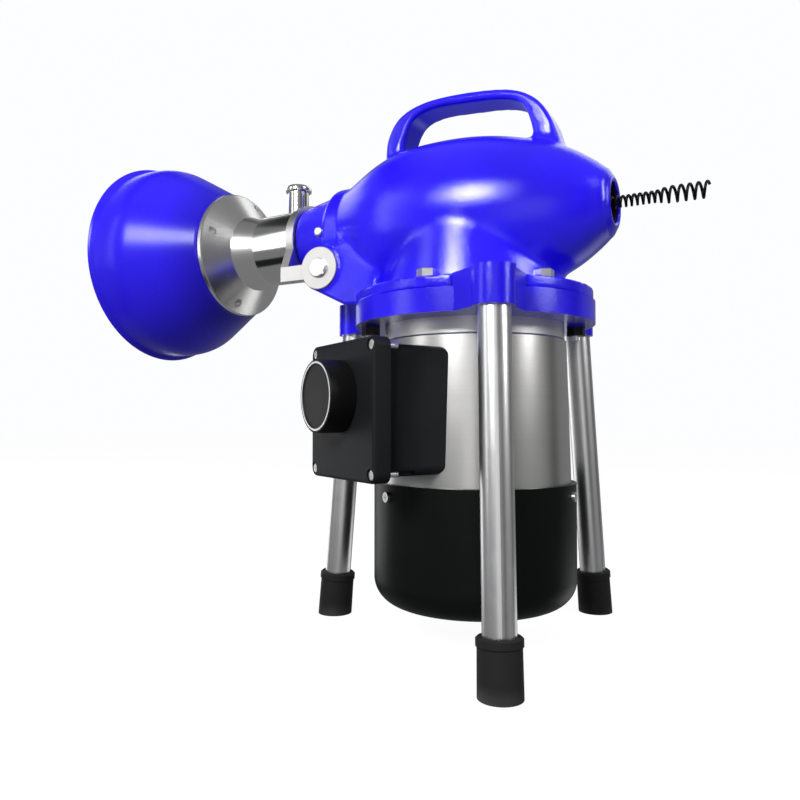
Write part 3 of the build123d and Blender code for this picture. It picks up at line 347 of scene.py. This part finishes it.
# %% [markdown]
# ## Inner metals
# Gears, laminations, windings and bushes are seen only when the machine is opened or the head
# tilts, but each still has a maker's finish: ground, laminated, wound or sintered. Thin level
# layers suit stacked plates and windings, and specks under a film of oil suit cut metal.

# %% Inner metals


def layered(name, color, roughness, scale, depth, metallic=1.0, contrast=0.35):
    """Stacked plates or close windings: thin level layers of light and dark."""
    finish = Finish(name, color, roughness, metallic=metallic)
    bands = finish.noise(scale, vector=finish.place(stretch=(0.02, 0.02, 1.0)), detail=2.0)
    stain = finish.noise(60.0, detail=3.0)
    dark, light = finish.shade(1 - contrast), finish.shade(1 + contrast)
    finish.vary(Base_Color=finish.mix(bands * 0.7 + stain * 0.3, dark, light),
                Roughness=roughness + stain * 0.12)
    finish.relief(bands, depth)
    return finish.material


def machined(name, color, roughness, speck=900.0, depth=0.00003, contrast=0.15):
    """Cut or sintered metal with specks and a light film of oil."""
    finish = Finish(name, color, roughness, metallic=1.0)
    specks = finish.noise(speck, detail=4.0, roughness=0.7)
    film = finish.noise(45.0, detail=3.0)
    dark, light = finish.shade(1 - contrast), finish.shade(1 + contrast)
    finish.vary(Base_Color=finish.mix(film * 0.6 + specks * 0.4, dark, light),
                Roughness=(roughness - 0.05) + film * 0.14 + specks * 0.05)
    finish.relief(specks, depth)
    return finish.material


# %% [markdown]
# ## One finish for each material slot
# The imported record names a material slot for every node. The table below makes one finish for
# each slot, so a node can't be forgotten.

# %% Give every CAD node its finish
ALONG_Z = (1.0, 1.0, 0.03)
ALONG_X = (0.03, 1.0, 1.0)
EVEN = (1.0, 1.0, 1.0)
FINISHES = {
    "blue_enamel": enamel(),
    "blue_plastic": bell_plastic(),
    "turned_aluminium": turned("turned aluminium", (0.68, 0.675, 0.66), 0.30, "Z", 0.00002),
    "cone_aluminium": turned("turned cone", (0.80, 0.795, 0.785), 0.24, "X", 0.00002, ring_scale=1900.0),
    "machined_steel": turned("machined yoke", (0.72, 0.71, 0.70), 0.36, "X", 0.00002, contrast=0.05),
    "polished_steel": turned("polished collar", (0.74, 0.74, 0.74), 0.13, "X", 0.000006, ring_scale=2400.0),
    "polished_tube": polished("polished tube", (0.78, 0.78, 0.785), 0.27, ALONG_Z, bloom=0.04),
    # The end shield is the shell's turned aluminium with a lighter colour: painted light that lifts the
    # shade it lies in under the ring.
    "shield_aluminium_painted_lighter": turned("turned end shield, painted lighter", (0.86, 0.855, 0.84), 0.42, "Z", 0.00002, contrast=0.05),
    "plunger_steel": polished("polished plunger", (0.80, 0.80, 0.80), 0.12, EVEN, bloom=0.06),
    "bright_screw": polished("plated screw", (0.88, 0.88, 0.89), 0.28, EVEN, bloom=0.08),
    "foot_rubber": moulded("foot rubber", (0.017, 0.017, 0.018), 0.62, 1300.0, 0.00007, dust=0.22),
    "box_plastic": moulded("switch box plastic", (0.010, 0.0108, 0.0120), 0.50, 1700.0, 0.00008),
    "knob_plastic": moulded("knob plastic", (0.0065, 0.0065, 0.0070), 0.42, 2200.0, 0.00004),
    "cover_black": moulded("fan cover paint", (0.0035, 0.0050, 0.0045), 0.36, 1100.0, 0.00005),
    "fan_plastic": moulded("fan plastic", (0.05, 0.05, 0.055), 0.45, 900.0, 0.00004),
    "dark_bush": moulded("worn bush", (0.020, 0.012, 0.009), 0.42, 800.0, 0.00008),
    "black_fastener": machined("black oxide", (0.035, 0.035, 0.038), 0.42, contrast=0.3),
    "bearing_steel": turned("ground bearing", (0.66, 0.67, 0.69), 0.18, "X", 0.000006),
    "gear_steel": machined("gear steel", (0.42, 0.42, 0.43), 0.33),
    "bronze": machined("sintered bronze", (0.56, 0.38, 0.18), 0.38, contrast=0.25),
    "stator_plates": layered("stator plates", (0.32, 0.33, 0.35), 0.40, 2000.0, 0.00005),
    "winding_wire": layered("winding wire", (0.62, 0.25, 0.09), 0.30, 1100.0, 0.0002, contrast=0.25),
    "cable_steel": machined("oiled cable", (0.26, 0.25, 0.24), 0.35, contrast=0.3),
    "auger_wire": machined("black wire", (0.018, 0.018, 0.020), 0.38, contrast=0.3),
    "spring_steel": machined("spring steel", (0.05, 0.05, 0.055), 0.32, contrast=0.25),
}
slot_of = {entry["node"]: entry["material_slot"] for entry in frame["record"]["subparts"]}
slot_of["cone"] = "cone_aluminium"
# Painted light: the end shield gets the lighter copy of the shell's aluminium.
slot_of["end_shield"] = "shield_aluminium_painted_lighter"
slot_of["plunger_knob"] = "plunger_steel"
slot_of["plunger_body"] = "plunger_steel"
for name, node in nodes.items():
    node.data.materials.clear()
    node.data.materials.append(FINISHES[slot_of[name]])
print("finishes:", len(FINISHES), "for", len(nodes), "nodes")

# %% [markdown]
# ## The soft casting
# On the real housing the body flows into its neck, its two arms and the roots of its handle,
# because sand won't keep a sharp inner corner. The CAD solid meets itself in creases. A copy of
# its mesh is turned into small even faces, and only the skin near the body is then relaxed, so
# the creases melt into fillets while the flange, bores and screw seats stay crisp.

# %% The housing, softened where it meets itself
BODY_OUTLINE = [(-119, 41), (-104, 43.2), (-92, 49), (-76, 56.6), (-55, 63.4), (-30, 66), (0, 65.6),
                (30, 61.6), (55, 55), (78, 46.2), (96, 35), (108, 25)]
VOXEL = 0.0015
SOFT_REACH = 13.0
SOFT_ROUNDS = 60
SOFT_FROM_X = -100
SOFT_TO_X = 100
FLANGE_TOP_Z = 270
FACE_LIMIT = 190000


def softened_weight(points):
    """How much each point is relaxed: fully on the body's skin, not at all 13 mm away from it."""
    local = (points - np.array([MOTOR.x, MOTOR.y, SPINDLE_Z])) / MM
    xs, radii = zip(*BODY_OUTLINE)
    skin = np.interp(local[:, 0], xs, radii)
    from_axis = np.hypot(local[:, 1], local[:, 2])
    weight = np.clip(1.25 - np.abs(from_axis - skin) / SOFT_REACH, 0, 1)
    ends = np.clip((local[:, 0] - SOFT_FROM_X) / 8, 0, 1) * np.clip((SOFT_TO_X - local[:, 0]) / 6, 0, 1)
    above_flange = np.clip((points[:, 2] / MM - FLANGE_TOP_Z) / 4, 0, 1)
    return weight * ends * above_flange


def softened_housing():
    casting = nodes["housing"].copy()
    casting.data = nodes["housing"].data.copy()
    casting.parent = None
    for key in list(casting.keys()):
        del casting[key]
    bpy.context.collection.objects.link(casting)
    only(casting)
    bpy.ops.object.mode_set(mode="EDIT")
    bpy.ops.mesh.select_all(action="SELECT")
    bpy.ops.mesh.remove_doubles(threshold=0.00001)
    bpy.ops.object.mode_set(mode="OBJECT")
    apply_modifier(casting, "REMESH", mode="VOXEL", voxel_size=VOXEL, use_smooth_shade=True)
    points = np.array([vertex.co for vertex in casting.data.vertices])
    weights = softened_weight(points)
    group = casting.vertex_groups.new(name="soft")
    for step in range(1, 11):
        chosen = np.nonzero(np.round(weights * 10) == step)[0].tolist()
        group.add(chosen, step / 10, "REPLACE")
    apply_modifier(casting, "SMOOTH", factor=0.5, iterations=SOFT_ROUNDS, vertex_group="soft")
    apply_modifier(casting, "SMOOTH", factor=0.5, iterations=2)
    faces = len(casting.data.polygons) * 2
    if faces > FACE_LIMIT:
        apply_modifier(casting, "DECIMATE", ratio=FACE_LIMIT / faces)
    return finished(casting, "housing_casting", "frame", sharp=50.0)


housing = softened_housing()
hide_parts("housing")
housing.data.materials.append(FINISHES["blue_enamel"])

# %% [markdown]
# ## The wound cable
# A drain cable is a steel wire wound tightly on itself. It is modelled as it is made: one small
# wire section, swept round and along by the Screw modifier, turn against turn.

# %% A wire wound into a coil


def wound_wire(radius, wire, pitch, turns, steps=20, sides=8):
    """A coil about Z that starts at the origin, all in millimetres."""
    bpy.ops.object.select_all(action="DESELECT")
    bpy.ops.mesh.primitive_circle_add(vertices=sides, radius=wire * MM, location=(radius * MM, 0, 0),
                                      rotation=(math.pi / 2, 0, 0))
    coil = bpy.context.object
    bpy.ops.object.transform_apply(location=True, rotation=True, scale=True)
    whole = math.ceil(turns)
    apply_modifier(coil, "SCREW", axis="Z", angle=2 * math.pi, screw_offset=pitch * MM, iterations=whole,
                   steps=steps, render_steps=steps, use_smooth_shade=True)
    only(coil)
    bpy.ops.object.mode_set(mode="EDIT")
    bpy.ops.mesh.select_all(action="DESELECT")
    bpy.ops.mesh.select_non_manifold(extend=False)
    bpy.ops.mesh.edge_face_add()
    bpy.ops.mesh.select_all(action="SELECT")
    bpy.ops.mesh.normals_make_consistent(inside=False)
    bpy.ops.object.mode_set(mode="OBJECT")
    return coil


def moved(piece, matrix):
    """Turn and move a piece that stands at the origin."""
    piece.matrix_world = matrix
    only(piece)
    bpy.ops.object.transform_apply(location=True, rotation=True, scale=True)
    return piece


TOWARDS_X = Matrix.Rotation(math.pi / 2, 4, "Y")
cable_low, cable_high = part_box("drain_cable")
CABLE_WIRE = 1.15
cable_length = (cable_high.x - cable_low.x) / MM
cable_turns = int((cable_length - 14) / (2 * CABLE_WIRE))
coil = wound_wire(8.0 - CABLE_WIRE, CABLE_WIRE, 2 * CABLE_WIRE, cable_turns)
start = Vector((cable_low.x + 2 * MM, MOTOR.y, SPINDLE_Z))
moved(coil, Matrix.Translation(start) @ TOWARDS_X)
print("cable coil of", cable_turns, "turns")

# %% [markdown]
# Inside the coil is a plain core, and its end tapers to the fitting that the auger is welded to.
# Both are one turned shape: a cylinder whose end rings are scaled in.

# %% The cable's core and tapered end


def lathe(outline, segments=64):
    """A closed shape turned about Z from (radius, height) points in millimetres, from bottom to top."""
    bpy.ops.object.select_all(action="DESELECT")
    first_radius, first_height = outline[0]
    bpy.ops.mesh.primitive_circle_add(vertices=segments, radius=first_radius * MM, fill_type="NGON",
                                      location=(0, 0, first_height * MM))
    piece = bpy.context.object
    bpy.ops.object.transform_apply(location=True, rotation=True, scale=True)
    bpy.ops.object.mode_set(mode="EDIT")
    bpy.ops.mesh.select_all(action="SELECT")
    last_radius, last_height = first_radius, first_height
    for radius, height in outline[1:]:
        rise = (height - last_height) * MM
        bpy.ops.mesh.extrude_region_move(TRANSFORM_OT_translate={"value": (0, 0, rise)})
        scale = radius / last_radius
        bpy.ops.transform.resize(value=(scale, scale, 1), center_override=(0, 0, height * MM))
        last_radius, last_height = radius, height
    bpy.ops.mesh.select_all(action="SELECT")
    bpy.ops.mesh.normals_make_consistent(inside=False)
    bpy.ops.object.mode_set(mode="OBJECT")
    return piece


core = lathe([(5.2, 0.0), (5.8, 0.6), (5.8, cable_length - 12), (7.9, cable_length - 11.6),
              (7.9, cable_length - 8), (4.7, cable_length - 2), (4.7, cable_length)], segments=32)
moved(core, Matrix.Translation(Vector((cable_low.x, MOTOR.y, SPINDLE_Z))) @ TOWARDS_X)
only(coil)
core.select_set(True)
bpy.ops.object.join()
cable = finished(coil, "wound_cable", "cable", sharp=50.0)
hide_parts("drain_cable")
cable.data.materials.append(FINISHES["cable_steel"])

# %% [markdown]
# ## The return springs
# A small torsion spring sits beside each ear of the yoke and lifts the head again when the bell is
# let go. The CAD model shows each as a plain ring. Here a wire is wound twice round the pivot, runs
# under the arm and ends in a hook.

# %% Coils, tails and hooks
PIVOT_X, PIVOT_Z = -115.5, 294.0
SPRING_WIRE = 0.7
SPRING_R = 6.7
SPRING_Y = 32.2


def wire_rod(start, turn, length):
    """A straight piece of spring wire from a place, turned out of the upright."""
    rod = lathe([(SPRING_WIRE, 0.0), (SPRING_WIRE, length)], segments=12)
    return moved(rod, Matrix.Translation(start) @ turn)


def spring(side):
    """The pieces of one return spring: side is -1 in front and 1 behind."""
    outwards = Matrix.Rotation(-side * math.pi / 2, 4, "X")
    coil = wound_wire(SPRING_R, SPRING_WIRE, 2 * SPRING_WIRE, 2, steps=36, sides=12)
    moved(coil, Matrix.Translation(at(PIVOT_X, side * SPRING_Y, PIVOT_Z)) @ outwards)
    low = PIVOT_Z - SPRING_R
    tail = wire_rod(at(PIVOT_X, side * (SPRING_Y + 1), low), TOWARDS_X, 19.0)
    hook = wire_rod(at(PIVOT_X + 19.0, side * (SPRING_Y + 0.5), low), outwards, 5.0)
    return [coil, tail, hook]


spring_pieces = spring(-1) + spring(1)
only(spring_pieces[0])
for piece in spring_pieces:
    piece.select_set(True)
bpy.ops.object.join()
springs = finished(spring_pieces[0], "wound_return_springs", "head", sharp=50.0)
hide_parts("return_springs")
springs.data.materials.append(FINISHES["spring_steel"])

# %% [markdown]
# ## Floor, light and camera
# The machine stands on a pale floor in a light tent. Polished metal shows what is around it, so
# the tent has dark panels between its lamps: they draw the dark bands on tube, collar and cone.
# The floor glows evenly and is hidden from reflections and bounced light, so it stays white and
# doesn't grey the metal from below.

# %% Floor


def studio_floor():
    bpy.ops.object.select_all(action="DESELECT")
    bpy.ops.mesh.primitive_plane_add(size=14.0, location=(0, 0, 0))
    floor = bpy.context.object
    floor.name = "studio_floor"
    pale = Finish("pale floor", (0.10, 0.10, 0.10), 0.8, Emission_Color=(1, 1, 1, 1), Emission_Strength=0.96,
                  Specular_IOR_Level=0.0)
    specks = pale.noise(300.0, detail=3.0)
    pale.vary(Base_Color=pale.mix(specks, (0.09, 0.09, 0.09), (0.11, 0.11, 0.11)))
    floor.data.materials.append(pale.material)
    floor.visible_glossy = False
    floor.visible_diffuse = False
    return floor


studio_floor()

# %% [markdown]
# Lamps and panels are placed by how far they are turned round the machine from the camera's side
# and by their height angle, because a highlight moves with those angles. Each is aimed at the
# middle of the machine.

# %% Placing lamps and panels
FACING = -66.7
AIM = at(-20, 0, 250)


def around_machine(turn, height, distance):
    """A place at an angle to the right of the camera's side and an angle above the floor."""
    azimuth = math.radians(FACING + turn)
    up = math.radians(height)
    flat = distance * math.cos(up)
    return AIM + Vector((flat * math.cos(azimuth), flat * math.sin(azimuth), distance * math.sin(up)))


def look_at(thing, place, target):
    thing.location = place
    thing.rotation_euler = (target - place).to_track_quat("-Z", "Y").to_euler()


def lamp(name, turn, height, distance, width, tall, power, mirrored=True):
    data = bpy.data.lights.new(name, "AREA")
    data.shape = "RECTANGLE"
    data.size = width
    data.size_y = tall
    data.energy = power
    thing = bpy.data.objects.new(name, data)
    bpy.context.scene.collection.objects.link(thing)
    look_at(thing, around_machine(turn, height, distance), AIM)
    thing.visible_glossy = mirrored


def panel(name, turn, height, distance, width, tall, tone, glow=0.0):
    bpy.ops.object.select_all(action="DESELECT")
    bpy.ops.mesh.primitive_plane_add(size=1.0)
    thing = bpy.context.object
    thing.name = name
    thing.scale = (width, tall, 1.0)
    look_at(thing, around_machine(turn, height, distance), AIM)
    cloth = Finish(name + " cloth", (tone, tone, tone), 0.9, Emission_Color=(1, 1, 1, 1),
                   Emission_Strength=glow)
    cloth.vary(Roughness=0.85 + cloth.noise(400.0) * 0.1)
    thing.data.materials.append(cloth.material)
    thing.visible_camera = False
    thing.visible_shadow = False


# %% [markdown]
# A square softbox in front draws the highlight on the body and the streak down the neck. One to
# the right adds the second streak, and a wide one overhead only lights, without a reflection.
# The tall one at the left shows in the collar and the pivot discs. The cone and the collar face
# away from the lens, so they are lit by reflectors at the left and behind, and dark cloths
# between these give them their bands.

# %% The lamps, reflectors and dark cloths
lamp("front_softbox", -25, 26, 1.5, 0.42, 0.40, 18.0)
lamp("right_softbox", 68, 26, 1.5, 0.34, 0.80, 9.0)
lamp("top_softbox", -20, 80, 1.6, 1.2, 1.2, 4.0, mirrored=False)
lamp("collar_softbox", -66, 17, 1.6, 0.36, 1.1, 2.6)
panel("front_reflector", 2, -3, 1.7, 0.80, 0.9, 0.5, glow=0.55)
panel("right_panel", 38, 5, 1.7, 0.40, 1.6, 0.03)
panel("far_right_panel", 104, 10, 1.7, 0.5, 1.8, 0.04)
panel("high_left_panel", -112, 56, 1.7, 1.6, 0.45, 0.02)
panel("low_left_panel", -70, -32, 1.7, 1.3, 0.45, 0.02)
panel("high_back_reflector", 148, 38, 1.7, 1.2, 1.0, 0.5, glow=0.9)
panel("low_back_reflector", 128, -28, 1.7, 1.0, 0.6, 0.5, glow=0.9)
panel("left_reflector", -132, 10, 1.7, 1.2, 1.8, 0.6, glow=1.3)
print("4 lamps and 8 panels placed")

# %% [markdown]
# The tent's cloth lights the machine softly, and what lies behind the machine is plain white. One
# world does both: rays that the lens sends out straight see white, and all others see the cloth.

# %% World
TENT_LIGHT = 0.22
BACKDROP_LIGHT = 1.0


def light_tent():
    world = bpy.data.worlds.new("light_tent")
    bpy.context.scene.world = world
    world.use_nodes = True
    tree = world.node_tree
    tree.nodes["Background"].inputs["Color"].default_value = (0.98, 0.985, 1.0, 1.0)
    straight = tree.nodes.new("ShaderNodeLightPath").outputs["Is Camera Ray"]
    strength = tree.nodes.new("ShaderNodeMapRange")
    strength.inputs["To Min"].default_value = TENT_LIGHT
    strength.inputs["To Max"].default_value = BACKDROP_LIGHT
    tree.links.new(straight, strength.inputs["Value"])
    tree.links.new(strength.outputs["Result"], tree.nodes["Background"].inputs["Strength"])


light_tent()
bpy.context.scene.view_settings.view_transform = "Standard"
print("light tent ready")

# %% [markdown]
# The camera stands low and close, in front and to the right, so the far leg and the bell shrink
# a little. It looks very slightly upwards.

# %% Camera
CAMERA_PLACE = at(229.2, -532.9, 168.7)
CAMERA_YAW = 119.12
CAMERA_PITCH = 1.64
SENSOR = 36.0
FIELD_OF_VIEW = 58.0


def photographer():
    data = bpy.data.cameras.new("camera")
    data.sensor_width = SENSOR
    data.lens = SENSOR / 2 / math.tan(math.radians(FIELD_OF_VIEW / 2))
    camera = bpy.data.objects.new("camera", data)
    bpy.context.scene.collection.objects.link(camera)
    yaw = math.radians(CAMERA_YAW)
    pitch = math.radians(CAMERA_PITCH)
    aim = Vector((math.cos(yaw) * math.cos(pitch), math.sin(yaw) * math.cos(pitch), math.sin(pitch)))
    look_at(camera, CAMERA_PLACE, CAMERA_PLACE + aim)
    bpy.context.scene.camera = camera
    return camera


photographer()
print("camera at", tuple(round(v, 3) for v in CAMERA_PLACE))
